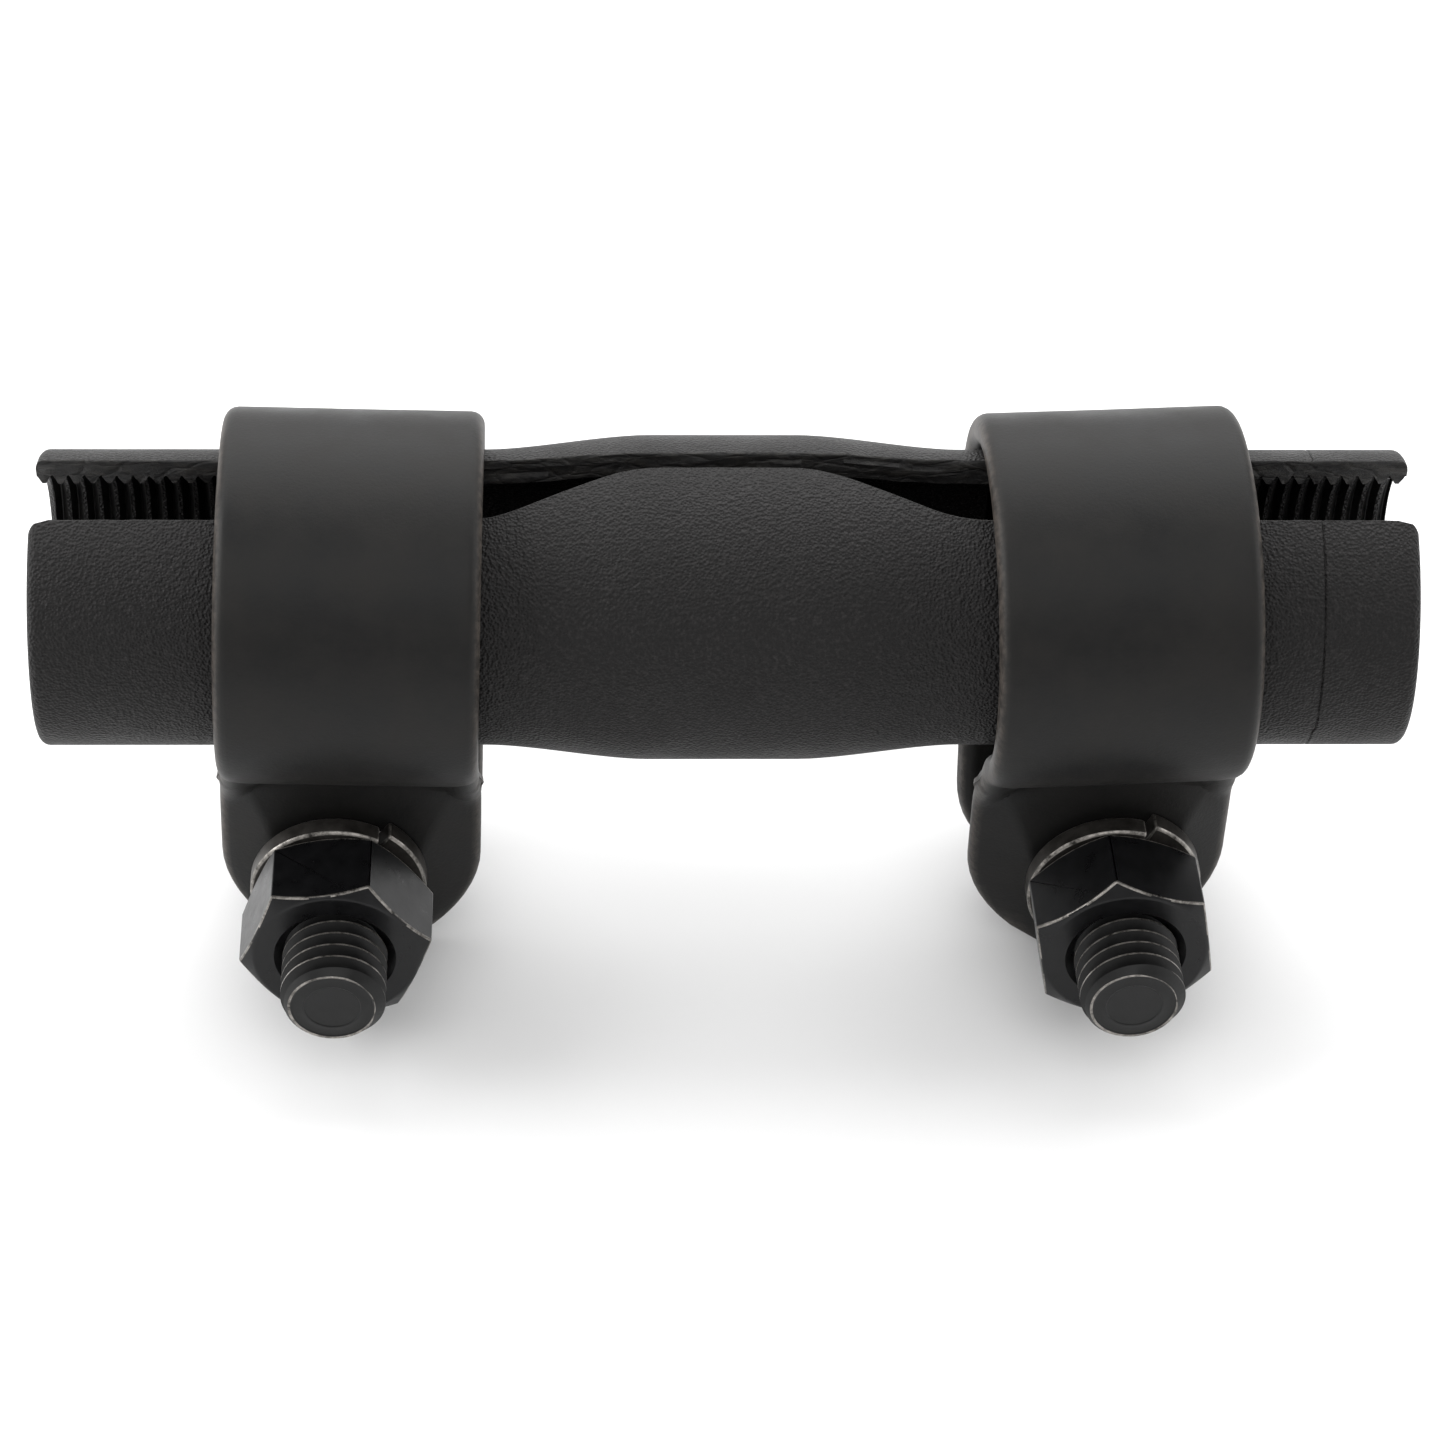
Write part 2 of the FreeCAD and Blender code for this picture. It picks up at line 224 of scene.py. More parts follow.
class Finishes(bpy.types.PropertyGroup):
    phosphate: shade("Phosphate", "The sleeve's crystal layer", "#161515")
    phosphate_dust: shade("Phosphate dust", "Paler crystals between the grains", "#2b2929")
    # paler colour on the torn ridges' tops: partly burnish, partly a painted highlight
    torn_steel_and_painted_highlight: shade("Torn steel", "Ridges on the sheared wall", "#34322f")
    cut_thread: shade("Cut thread", "Crests inside the bore", "#181716")
    clamp_black: shade("Clamp black", "Hot black oxide on the strip", "#151515")
    clamp_cloud: shade("Clamp cloud", "Paler clouds in that oxide", "#1c1b1a")
    rubbed_edge: shade("Rubbed edge", "Where handling polished the strip", "#4a443f")
    bolt_black: shade("Bolt black", "Oxide over rolled steel", "#0e0e0e")
    nut_black: shade("Nut black", "Oxide over forged steel", "#0a0a0b")
    # paler steel on edges and thread crests: partly real wear, partly a painted highlight
    bare_steel_and_painted_highlight: shade("Bare steel", "Edges rubbed through the oxide", "#918d88")
    temper: shade("Temper", "The lock washer's blueing", "#24221f")
    temper_light: shade("Temper, light", "Where the barrel rubbed it", "#4c4946")
    floor: shade("Floor", "Studio paper", "#e6e6e6")


def node(tree, kind, output=0, settings=None, **sockets):
    """Add a node with its settings and sockets, and give back one of its outputs. A socket is
    named, or numbered after an underscore, and gets a value or another node's output."""
    made = tree.nodes.new("ShaderNode" + kind)
    for key, value in (settings or {}).items():
        setattr(made, key, value)
    for key, value in sockets.items():
        socket = made.inputs[int(key[1:]) if key[0] == "_" else key.replace("_", " ")]
        if isinstance(value, bpy.types.NodeSocket):
            tree.links.new(value, socket)
        else:
            socket.default_value = value
    return made.outputs[output] if made.outputs else made


def per_mm(size):
    """The scale of a pattern whose cells are this many millimetres across."""
    return 1 / (size * MM)


COLOUR = {"data_type": "RGBA"}
MIXED = 2       # the Mix node's colour output


def blank(name):
    """A material with no nodes yet but the place on the piece that its patterns follow."""
    material = bpy.data.materials.new(name)
    material.use_nodes = True
    material.node_tree.nodes.clear()
    return material, material.node_tree, node(material.node_tree, "TexCoord", "Object")


def phosphate_steel(tones):
    """Manganese-phosphated drawn steel, blasted first: a fine pebble grain that scatters light
    into small soft glints, over a nearly black, slightly warm crystal layer."""
    material, tree, place = blank("phosphated_blasted_steel")
    tone = node(tree, "TexNoise", Vector=place, Scale=per_mm(9), Detail=4, Roughness=0.6)
    dust = node(tree, "TexNoise", Vector=place, Scale=per_mm(0.4), Detail=2)
    dust = node(tree, "MapRange", Value=dust, From_Min=0.5, From_Max=0.75, To_Max=0.55)
    colour = node(tree, "Mix", MIXED, COLOUR, _0=dust, _6=tones.phosphate,
                  _7=tones.phosphate_dust)
    rough = node(tree, "MapRange", Value=tone, From_Min=0.3, From_Max=0.7, To_Min=0.46,
                 To_Max=0.58)
    # grains from the blasting are about 0.3 mm across
    grain = node(tree, "TexVoronoi", "Distance", {"feature": "SMOOTH_F1"}, Vector=place,
                 Scale=per_mm(0.28), Smoothness=0.5)
    orange_peel = node(tree, "TexNoise", Vector=place, Scale=per_mm(0.5), Detail=3)
    normal = node(tree, "Bump", Height=grain, Strength=0.95, Distance=0.16 * MM)
    normal = node(tree, "Bump", Height=orange_peel, Strength=0.5, Distance=0.12 * MM,
                  Normal=normal)
    surface = node(tree, "BsdfPrincipled", Base_Color=colour, Roughness=rough, Normal=normal,
                   Metallic=0.0, IOR=1.5, Specular_IOR_Level=0.17)
    node(tree, "OutputMaterial", Surface=surface)
    return material


def sheared_steel(tones):
    """The slot's sheared wall under the same phosphate: torn along the tube into lumps and
    cracks. Their tops are burnished smoother to catch the light, and painted paler as a
    highlight."""
    material, tree, place = blank("phosphated_sheared_steel")
    drawn = node(tree, "Mapping", Vector=place, Scale=(0.4, 1, 1))
    tear = node(tree, "TexNoise", Vector=drawn, Scale=per_mm(0.9), Detail=6, Roughness=0.7)
    crack = node(tree, "TexVoronoi", "Distance", {"feature": "DISTANCE_TO_EDGE"}, Vector=drawn,
                 Scale=per_mm(1.3))
    crack = node(tree, "MapRange", Value=crack, From_Max=0.12)
    # the ridge tops are painted paler: partly burnish, partly a painted highlight
    burnish_and_painted_highlight = node(tree, "MapRange", Value=tear, From_Min=0.45, From_Max=0.72)
    colour = node(tree, "Mix", MIXED, COLOUR, _0=burnish_and_painted_highlight, _6=tones.phosphate,
                  _7=tones.torn_steel_and_painted_highlight)
    rough = node(tree, "MapRange", Value=burnish_and_painted_highlight, To_Min=0.58, To_Max=0.36)
    normal = node(tree, "Bump", Height=tear, Strength=0.9, Distance=0.4 * MM)
    normal = node(tree, "Bump", Height=crack, Strength=0.6, Distance=0.12 * MM, Normal=normal)
    surface = node(tree, "BsdfPrincipled", Base_Color=colour, Roughness=rough, Normal=normal,
                   Metallic=0.0, IOR=1.5, Specular_IOR_Level=0.45)
    node(tree, "OutputMaterial", Surface=surface)
    return material


def threaded_steel(tones):
    """The tapped bore: cut clean after forming, so smoother, and dark between its crests."""
    material, tree, place = blank("phosphated_cut_thread")
    tone = node(tree, "TexNoise", Vector=place, Scale=per_mm(1.2), Detail=3)
    tone = node(tree, "MapRange", Value=tone, From_Min=0.3, From_Max=0.7)
    colour = node(tree, "Mix", MIXED, COLOUR, _0=tone, _6=tones.nut_black, _7=tones.cut_thread)
    rough = node(tree, "MapRange", Value=tone, To_Min=0.38, To_Max=0.5)
    surface = node(tree, "BsdfPrincipled", Base_Color=colour, Roughness=rough, Metallic=0.0,
                   IOR=1.5, Specular_IOR_Level=0.15)
    node(tree, "OutputMaterial", Surface=surface)
    return material


def clamp_oxide(tones):
    """Hot black oxide on pressed steel strip: a satin, clouded black with fine pits. Handling
    has polished a thin line along the edges to a warm grey."""
    material, tree, place = blank("black_oxide_pressed_steel")
    cloud = node(tree, "TexNoise", Vector=place, Scale=per_mm(7), Detail=6, Roughness=0.62)
    cloud = node(tree, "MapRange", Value=cloud, From_Min=0.34, From_Max=0.66)
    colour = node(tree, "Mix", MIXED, COLOUR, _0=cloud, _6=tones.clamp_black,
                  _7=tones.clamp_cloud)
    wear = node(tree, "Attribute", "Fac", {"attribute_name": "wear"})
    patches = node(tree, "TexNoise", Vector=place, Scale=per_mm(0.8), Detail=4, Roughness=0.7)
    patches = node(tree, "MapRange", Value=patches, From_Min=0.4, From_Max=0.62, To_Min=0.2,
                   To_Max=0.75)
    chips = node(tree, "Math", 0, {"operation": "MULTIPLY"}, _0=wear, _1=patches)
    colour = node(tree, "Mix", MIXED, COLOUR, _0=chips, _6=colour, _7=tones.rubbed_edge)
    satin = node(tree, "MapRange", Value=cloud, To_Min=0.42, To_Max=0.52)
    # the strip's mill grain and pits, about 0.3 mm, over slow waves from the press
    pits = node(tree, "TexNoise", Vector=place, Scale=per_mm(0.32), Detail=3, Roughness=0.65)
    waves = node(tree, "TexNoise", Vector=place, Scale=per_mm(5), Detail=2)
    normal = node(tree, "Bump", Height=pits, Strength=0.5, Distance=0.045 * MM)
    normal = node(tree, "Bump", Height=waves, Strength=0.35, Distance=0.12 * MM, Normal=normal)
    surface = node(tree, "BsdfPrincipled", Base_Color=colour, Roughness=satin, Normal=normal,
                   Metallic=0.0, IOR=1.5, Specular_IOR_Level=0.16)
    node(tree, "OutputMaterial", Surface=surface)
    return material


def bolt_oxide(name, black, gloss):
    """Black oxide over rolled or forged steel: a thin, glossy black with a faint mottle."""
    material, tree, place = blank(name)
    mottle = node(tree, "TexNoise", Vector=place, Scale=per_mm(2.2), Detail=5, Roughness=0.65)
    mottle = node(tree, "MapRange", Value=mottle, From_Min=0.32, From_Max=0.68)
    lighter = [min(value * 1.9, 1) for value in black[:3]] + [1]
    colour = node(tree, "Mix", MIXED, COLOUR, _0=mottle, _6=black, _7=lighter)
    rough = node(tree, "MapRange", Value=mottle, To_Min=gloss, To_Max=gloss + 0.1)
    drawn = node(tree, "TexNoise", Vector=place, Scale=per_mm(0.5), Detail=3)
    normal = node(tree, "Bump", Height=drawn, Strength=0.3, Distance=0.02 * MM)
    surface = node(tree, "BsdfPrincipled", Base_Color=colour, Roughness=rough, Normal=normal,
                   Metallic=0.0, IOR=1.5, Specular_IOR_Level=0.24)
    node(tree, "OutputMaterial", Surface=surface)
    return material


def worn_edge_and_painted_highlight(tones):
    """Bare steel where the oxide has rubbed off an edge or a thread crest, with a painted
    highlight along the same edges and crests, broken up by the black that is left."""
    material, tree, place = blank("oxide_worn_and_painted_highlight")
    rub = node(tree, "TexNoise", Vector=place, Scale=per_mm(1.1), Detail=5, Roughness=0.7)
    rub = node(tree, "MapRange", Value=rub, From_Min=0.34, From_Max=0.6)
    colour = node(tree, "Mix", MIXED, COLOUR, _0=rub, _6=tones.temper, _7=tones.bare_steel_and_painted_highlight)
    rough = node(tree, "MapRange", Value=rub, To_Min=0.44, To_Max=0.34)
    surface = node(tree, "BsdfPrincipled", Base_Color=colour, Roughness=rough, Metallic=0.7)
    node(tree, "OutputMaterial", Surface=surface)
    return material


def spring_steel(tones):
    """Tempered spring wire, barrelled: a grey-brown oxide over a soft metal gloss."""
    material, tree, place = blank("tempered_spring_steel")
    cloud = node(tree, "TexNoise", Vector=place, Scale=per_mm(2.5), Detail=5, Roughness=0.65)
    cloud = node(tree, "MapRange", Value=cloud, From_Min=0.3, From_Max=0.7)
    colour = node(tree, "Mix", MIXED, COLOUR, _0=cloud, _6=tones.temper, _7=tones.temper_light)
    rough = node(tree, "MapRange", Value=cloud, To_Min=0.34, To_Max=0.46)
    grit = node(tree, "TexNoise", Vector=place, Scale=per_mm(0.3), Detail=3)
    normal = node(tree, "Bump", Height=grit, Strength=0.4, Distance=0.02 * MM)
    surface = node(tree, "BsdfPrincipled", Base_Color=colour, Roughness=rough, Normal=normal,
                   Metallic=0.6)
    node(tree, "OutputMaterial", Surface=surface)
    return material


def studio_paper(tones):
    """Matt studio paper: an even pale grey with a faint fibre in its roughness."""
    material, tree, place = blank("matt_studio_paper")
    fibre = node(tree, "TexNoise", Vector=place, Scale=per_mm(3), Detail=3)
    rough = node(tree, "MapRange", Value=fibre, To_Min=0.85, To_Max=0.95)
    surface = node(tree, "BsdfPrincipled", Base_Color=tones.floor, Roughness=rough,
                   Metallic=0.0, IOR=1.5)
    node(tree, "OutputMaterial", Surface=surface)
    return material


def dress(piece, *materials):
    """Give the piece its finishes, in the order of its faces' slots. None keeps a slot free."""
    slots = [face.material_index for face in piece.data.polygons]
    piece.data.materials.clear()
    for material in materials:
        piece.data.materials.append(material)
    piece.data.polygons.foreach_set("material_index", slots)


# ---------------------------------------------------------------- sleeve

SWELL_NEAR = 7.5        # the barrel is full within this of the middle, and gone beyond SWELL_FAR
SWELL_FAR = 21.5
RELIEF_RADIUS = 12.5    # the bore under the barrel
END_ROUND = 0.9
MOUTH_CHAMFER = 0.5
SCRIBED_RING = 54.6     # from the middle
SCRIBED_DEPTH = 0.13
SCRIBED_STEP = 0.2      # by which the ring misses itself on closing
SCRIBED_CLOSES = math.radians(201)
SLEEVE_STEPS = 192
THREAD_TURNS = 27
THREAD_STEPS = 64
THREAD_SLOT, TORN_SLOT = 1, 2
SLOT_NEAR_LIP = (-4.0, 1.1)     # at the ends and at the middle
SLOT_FAR_LIP = (4.2, 3.4)
SLOT_NARROW, SLOT_WIDE = 8.4, 21.5
SLOT_CORNER = 1.6
SLOT_CUTS = 460
SLOT_DEPTHS = (-3.5, -1.2, -0.03, 0.05, 0.14, 0.3, 0.55, 0.85, 1.2, 1.6, 2.0, 2.5, 3.2, 7.0)
LIP_DEPTH, LIP_FLARE = 0.3, 0.22


def ease(t):
    t = min(max(t, 0.0), 1.0)
    return t * t * (3 - 2 * t)


def swell(x, end, middle):
    """A radius that is middle under the full barrel, end beyond it, and eases between."""
    t = (SWELL_FAR - abs(x)) / (SWELL_FAR - SWELL_NEAR)
    straight = min(max(t, 0.0), 1.0)
    return end + (middle - end) * (0.6 * ease(t) + 0.4 * straight)


def ramped(x, end, middle, soft=2.4):
    """Where a slot wall stands at x: straight ramps between end and middle, their corners
    rounded."""
    total = 0
    for step in (-1, -0.5, 0, 0.5, 1):
        t = (SLOT_WIDE - abs(x + step * soft)) / (SLOT_WIDE - SLOT_NARROW)
        total += end + (middle - end) * min(max(t, 0.0), 1.0)
    return total / 5


def measure(label, about, size):
    """A length, given in mm."""
    return FloatProperty(name=label, description=about, default=size * MM, unit="LENGTH",
                         subtype="DISTANCE")


def tilt(label, about, degrees):
    return FloatProperty(name=label, description=about, default=math.radians(degrees),
                         subtype="ANGLE")


class SleeveSizes(bpy.types.PropertyGroup):
    length: measure("Length", "Over both ends", 127)
    end_radius: measure("End radius", "Outside, under the clamps", 13.8)
    barrel_radius: measure("Barrel radius", "Outside, at the swell", 15.15)
    thread_radius: measure("Thread root radius", "Major radius of M24", 12.08)
    bore_radius: measure("Bore radius", "Minor radius of M24 x 1.5", 11.19)
    pitch: measure("Thread pitch", "Along the axis for one turn", 1.5)


class ClampSizes(bpy.types.PropertyGroup):
    width: measure("Strip width", "Along the sleeve", 24.2)
    plate: measure("Strip thickness", "Of the bent strip", 3.1)
    ring_radius: measure("Ring radius", "Outside of the ring", 17.58)
    ear_radius: measure("Ear radius", "Round end about the bolt", 12.28)
    left_lean: tilt("Left clamp lean", "Its ears hang outwards", 1.5)
    right_skew: tilt("Right clamp skew", "It sits slightly askew", 3)


class BoltSizes(bpy.types.PropertyGroup):
    radius: measure("Thread radius", "Outside of the M10 thread", 4.94)
    length: measure("Length", "Under the head", 34.49)
    flats: measure("Across flats", "Of head and nut", 16)


class Studio(bpy.types.PropertyGroup):
    distance: measure("Camera distance", "From the sleeve's centre", 490)
    elevation: tilt("Camera elevation", "Above the sleeve's axis", 42)
    yaw: tilt("Camera yaw", "Off square to the sleeve", -1.8)
    view_width: measure("View width", "At the sleeve's distance", 135.11)
    drop: FloatProperty(name="View drop", description="Share of its width the view is lowered by",
                        default=0.08685, subtype="FACTOR")


def sleeve_wall(sizes):
    """The tube's section from its outer left end, right round to the bore's left mouth."""
    half = sizes.length / MM / 2
    end = sizes.end_radius / MM
    bore = sizes.bore_radius / MM
    corner = []
    for angle in range(0, 91, 15):
        turn = math.radians(angle)
        corner.append((half - END_ROUND + END_ROUND * math.sin(turn),
                       end - END_ROUND + END_ROUND * math.cos(turn)))
    outer = []
    x = -60.0
    while x < 60.1:
        outer.append((x, swell(x, end, sizes.barrel_radius / MM)))
        x += 1.0 if abs(x) < 24 else 2.0
    groove = [(SCRIBED_RING - 0.15, end), (SCRIBED_RING, end - SCRIBED_DEPTH),
              (SCRIBED_RING + 0.15, end)]
    outer = sorted([p for p in outer if abs(p[0] - SCRIBED_RING) > 0.9] + groove)
    mouth = [(half, bore + MOUTH_CHAMFER), (half - MOUTH_CHAMFER, bore)]
    inner = []
    for step in range(21):
        x = SWELL_FAR * (1 - step / 10)
        inner.append((x, swell(x, bore, RELIEF_RADIUS)))
    left_corner = [(-px, pr) for px, pr in reversed(corner)]
    left_mouth = [(-px, pr) for px, pr in reversed(mouth)]
    return left_corner + outer + corner + mouth + inner + left_mouth


def thread_cutter(name, sizes, side):
    """The coil that cuts one end's M24 x 1.5 thread: right-hand on the left, left-hand on the
    right, running out where the bore opens up."""
    root = sizes.thread_radius / MM
    inside = sizes.bore_radius / MM - 0.19
    root_half = 0.06
    mouth_half = root_half + (root - inside) * THREAD_FLANK
    section = [(inside, -mouth_half), (root, -root_half), (root, root_half), (inside, mouth_half)]
    piece = coil(name, section, sizes.pitch / MM, THREAD_TURNS, THREAD_STEPS)
    # wound up Z, it is laid along X from one pitch beyond the end inwards
    start = sizes.length / 2 + sizes.pitch
    sign = -1 if side == "left" else 1
    for vertex in piece.data.vertices:
        x, y, z = vertex.co
        vertex.co = (sign * (start - z), sign * y, x)
    outwards(piece)
    dress(piece, None, None, None)
    piece.data.polygons.foreach_set("material_index", [THREAD_SLOT] * len(piece.data.polygons))
    return piece


def ragged(x, depth, seed):
    """How far a sheared wall stands off its line, in mm: torn ridges that run along the tube."""
    coarse = noise.noise(Vector((x * 0.16, depth * 0.9, seed)))
    fine = noise.noise(Vector((x * 0.9, depth * 1.7, seed + 7)))
    grit = noise.noise(Vector((x * 2.3, depth * 3.1, seed + 13)))
    fade = ease((depth - 0.05) / 0.8)
    return fade * (0.28 * coarse + 0.22 * fine + 0.15 * grit) + 0.07 * fine


def slot_lips(x, half):
    """Where the slot's near and far walls stand at x, in mm."""
    near = ramped(x, *SLOT_NEAR_LIP)
    far = ramped(x, *SLOT_FAR_LIP)
    inset = min(SLOT_CORNER - (half - abs(x)), SLOT_CORNER)
    if inset > 0:
        near -= SLOT_CORNER - math.sqrt(SLOT_CORNER ** 2 - inset ** 2)
    return near, far


def slot_cutter(sizes):
    """The tool for the slot: a long bar whose sides are the torn walls left by the shear."""
    half = sizes.length / MM / 2
    layers = len(SLOT_DEPTHS) - 1
    bpy.ops.mesh.primitive_cube_add(size=1, location=(0, 0, 0), scale=(2 * half + 4, 2, layers))
    bar = named("slot_tool")
    settle(bar)
    pick(bar, "edges", lambda edge: along_axis(bar, edge, 0))
    with editing(bar, "EDGE"):
        bpy.ops.mesh.subdivide(number_cuts=SLOT_CUTS)
    pick(bar, "edges", lambda edge: along_axis(bar, edge, 2))
    with editing(bar, "EDGE"):
        bpy.ops.mesh.subdivide(number_cuts=layers - 1)
    low = min(vertex.co.z for vertex in bar.data.vertices)
    for vertex in bar.data.vertices:
        x = vertex.co.x
        depth = SLOT_DEPTHS[layers - round(vertex.co.z - low)]
        near, far = slot_lips(x, half)
        lip = max(LIP_DEPTH - max(depth, 0), 0) / LIP_DEPTH
        flare = LIP_FLARE * (1 - math.sqrt(max(1 - lip * lip, 0)))
        if depth < 0:
            flare = LIP_FLARE - 0.2 * depth
        if vertex.co.y < 0:
            y = near - flare + ragged(x, depth, 3.0)
        else:
            y = far + flare - ragged(x, depth, 21.0)
            # a flake torn off the far lip beside the right clamp
            torn = ease(1 - abs(x - 20.7) / 1.5) * ease(1 - abs(depth - 0.1) / 0.8)
            y += 0.55 * torn * (1 + 0.5 * noise.noise(Vector((x * 3, 0, 5))))
            # a ridge where two shear cuts met
            ridge = math.exp(-((depth - 1.1 - 0.25 * math.sin(x * 0.35)) / 0.22) ** 2)
            y -= 0.22 * ridge * ease((x - 9) / 3) * ease((24 - x) / 3)
        outer = swell(x, sizes.end_radius / MM, sizes.barrel_radius / MM) - depth
        vertex.co = Vector((x, y, math.sqrt(max(outer ** 2 - y ** 2, 1)))) * MM
    outwards(bar)
    dress(bar, None, None, None)
    bar.data.polygons.foreach_set("material_index", [TORN_SLOT] * len(bar.data.polygons))
    return bar


def along_axis(piece, edge, axis):
    first, second = (piece.data.vertices[i].co for i in edge.vertices)
    step = second - first
    return abs(step[axis]) > 0.9 * step.length


def make_sleeve(sizes):
    tube = spun("sleeve_body", sleeve_wall(sizes), (1, 0, 0), SLEEVE_STEPS)
    for vertex in tube.data.vertices:
        x, y, z = vertex.co
        if abs(x / MM - SCRIBED_RING) < 0.2 and math.hypot(y, z) > RELIEF_RADIUS * MM:
            turned = (math.atan2(z, y) - SCRIBED_CLOSES) % TURN
            vertex.co.x = x + SCRIBED_STEP * MM * (turned / TURN - 0.5)
    dress(tube, None, None, None)
    for side in SIDES:
        shape_with(tube, thread_cutter(f"{side}_thread_tool", sizes, side))
    shape_with(tube, slot_cutter(sizes))
    return tube


# ---------------------------------------------------------------- clamps

EAR_TOP = -15.6
BOLT_DROP = 27.9        # the bolt's axis below the ring's
BOLT_HOLE = 6.1
PAD_OFFSET = 8.2        # an ear's outer face from the middle
SEAM_TOP = 10.25        # half the flat pad's width at EAR_TOP
SEAM_TIP = 0.9          # and SEAM_BELOW under the bolt
SEAM_BELOW = 13.3
FOLD_ANGLE = math.radians(18.5)
RIM_ROUND = 1.3
RIM_COLUMNS = (1.9, 1.3, 0.9, 0.55, 0.28, 0.1, 0.02, 0.0)
CREASE_SOFT = 1.0       # how far the crease is rounded over the pad
CREASE_WIDENS = 7.0     # what that grows by beyond CREASE_PAD, over CREASE_SPREAD
CREASE_PAD = 7.6
CREASE_SPREAD = 3.6
EAR_WIDER = 0.35


def seam_half_width(z, half_plate):
    """Half the flat pad's width at height z, on the strip's middle layer: a V that narrows
    towards the ear's tip."""
    lean = (SEAM_TOP - SEAM_TIP) / (BOLT_DROP + SEAM_BELOW + EAR_TOP)
    return SEAM_TOP - lean * (EAR_TOP - z) - half_plate * math.tan(FOLD_ANGLE / 2)


def strip_path(x, along, sizes):
    """The strip's middle layer, (y, z) in mm. along runs from the crease: up round the ring
    when it is positive, down the ear when it is negative. x is the place across the strip."""
    half_plate = sizes.plate / MM / 2
    ring = sizes.ring_radius / MM - half_plate
    pad = PAD_OFFSET - half_plate
    crease = math.pi - math.asin(pad / ring)
    if along >= 0:
        angle = crease - along / ring
        return ring * math.sin(angle), ring * math.cos(angle)
    z = ring * math.cos(crease) + along
    proud = max(abs(x) - seam_half_width(z, half_plate), 0)
    return pad - math.tan(FOLD_ANGLE) * proud, z


def bent_path(x, along, sizes):
    """strip_path with its crease rounded: tightly across the pad, widely towards the edges."""
    soft = CREASE_SOFT + CREASE_WIDENS * ease((abs(x) - CREASE_PAD) / CREASE_SPREAD)
    reach = soft * ease(1 - abs(along) / (1.5 * soft))
    if reach < 0.02:
        return strip_path(x, along, sizes)
    places = [strip_path(x, along + reach * step / 12, sizes) for step in range(-12, 13)]
    return sum(p[0] for p in places) / 25, sum(p[1] for p in places) / 25


def crease_height(sizes):
    half_plate = sizes.plate / MM / 2
    ring = sizes.ring_radius / MM - half_plate
    return -math.sqrt(ring ** 2 - (PAD_OFFSET - half_plate) ** 2)


def strip_rows(sizes):
    """The strip's rows from one tip to the crown: each is its share of the round end below the
    bolt, or its distance along the strip from the crease."""
    ear = sizes.ear_radius / MM
    ring = sizes.ring_radius / MM - sizes.plate / MM / 2
    crown = ring * (math.pi - math.asin((PAD_OFFSET - sizes.plate / MM / 2) / ring))
    shares = [1 - rim / ear for rim in reversed(RIM_COLUMNS)] + [0.74, 0.61, 0.47, 0.32, 0.16]
    bolt = -BOLT_DROP - crease_height(sizes)
    straight = [bolt + (-3.6 - bolt) * i / 7 for i in range(7)]
    creases = [-3.6, -2.8, -2.1, -1.5, -1.0, -0.6, -0.2, 0.2, 0.6, 1.0, 1.5, 2.1, 2.8, 3.6]
    round_ring = [3.6 + (crown - 3.6) * i / 34 for i in range(1, 35)]
    return ([(share, 0.0) for share in shares]
            + [(0.0, along) for along in straight + creases + round_ring])


def strip_columns(seam, edge):
    """Places across half the strip: the flat pad, its seam, the flank and the rounded rim."""
    soft = min(0.3, 0.3 * seam)
    start = seam + soft
    rim = [max(edge - inset, start + 0.05 * (i + 1)) for i, inset in enumerate(RIM_COLUMNS)]
    return [0.0, 0.35 * seam, 0.7 * seam, seam - soft, seam, start, (start + rim[0]) / 2, *rim]


def strip_across(share, along, sizes):
    """Where the columns of one row stand: (x, z) in the round end, (x, None) above it."""
    width = sizes.width / MM / 2
    ear = sizes.ear_radius / MM
    half_plate = sizes.plate / MM / 2
    if share:
        reach = ear * math.sqrt(1 - share * share / 2)
        seam = 0.3
        for _ in range(8):
            z = -BOLT_DROP - ear * share * math.sqrt(1 - seam * seam / 2)
            seam = max(seam_half_width(z, half_plate), 0.5) / reach
        return [(c, -BOLT_DROP - ear * share * math.sqrt(1 - (c / reach) ** 2 / 2))
                for c in strip_columns(seam * reach, reach)]
    edge = ear + (width - ear) * ease((along + 4) / 8)
    # the ear's blank was sheared a little wider than the ring
    edge += EAR_WIDER * math.exp(-((along + 1.2) / 1.4) ** 2)
    seam = seam_half_width(crease_height(sizes) + min(along, 0), half_plate)
    if along > 0:
        seam -= 0.8 * ease(along / 5)
    return [(c, None) for c in strip_columns(seam, edge)]


def rim_distance(x, z, sizes):
    """How far a place on the strip is inside its outline, in mm."""
    ear = sizes.ear_radius / MM
    if z < -BOLT_DROP:
        return ear - math.hypot(x, z + BOLT_DROP)
    low = crease_height(sizes)
    edge = ear + (sizes.width / MM / 2 - ear) * ease((z - low + 4) / 8)
    return edge - abs(x)


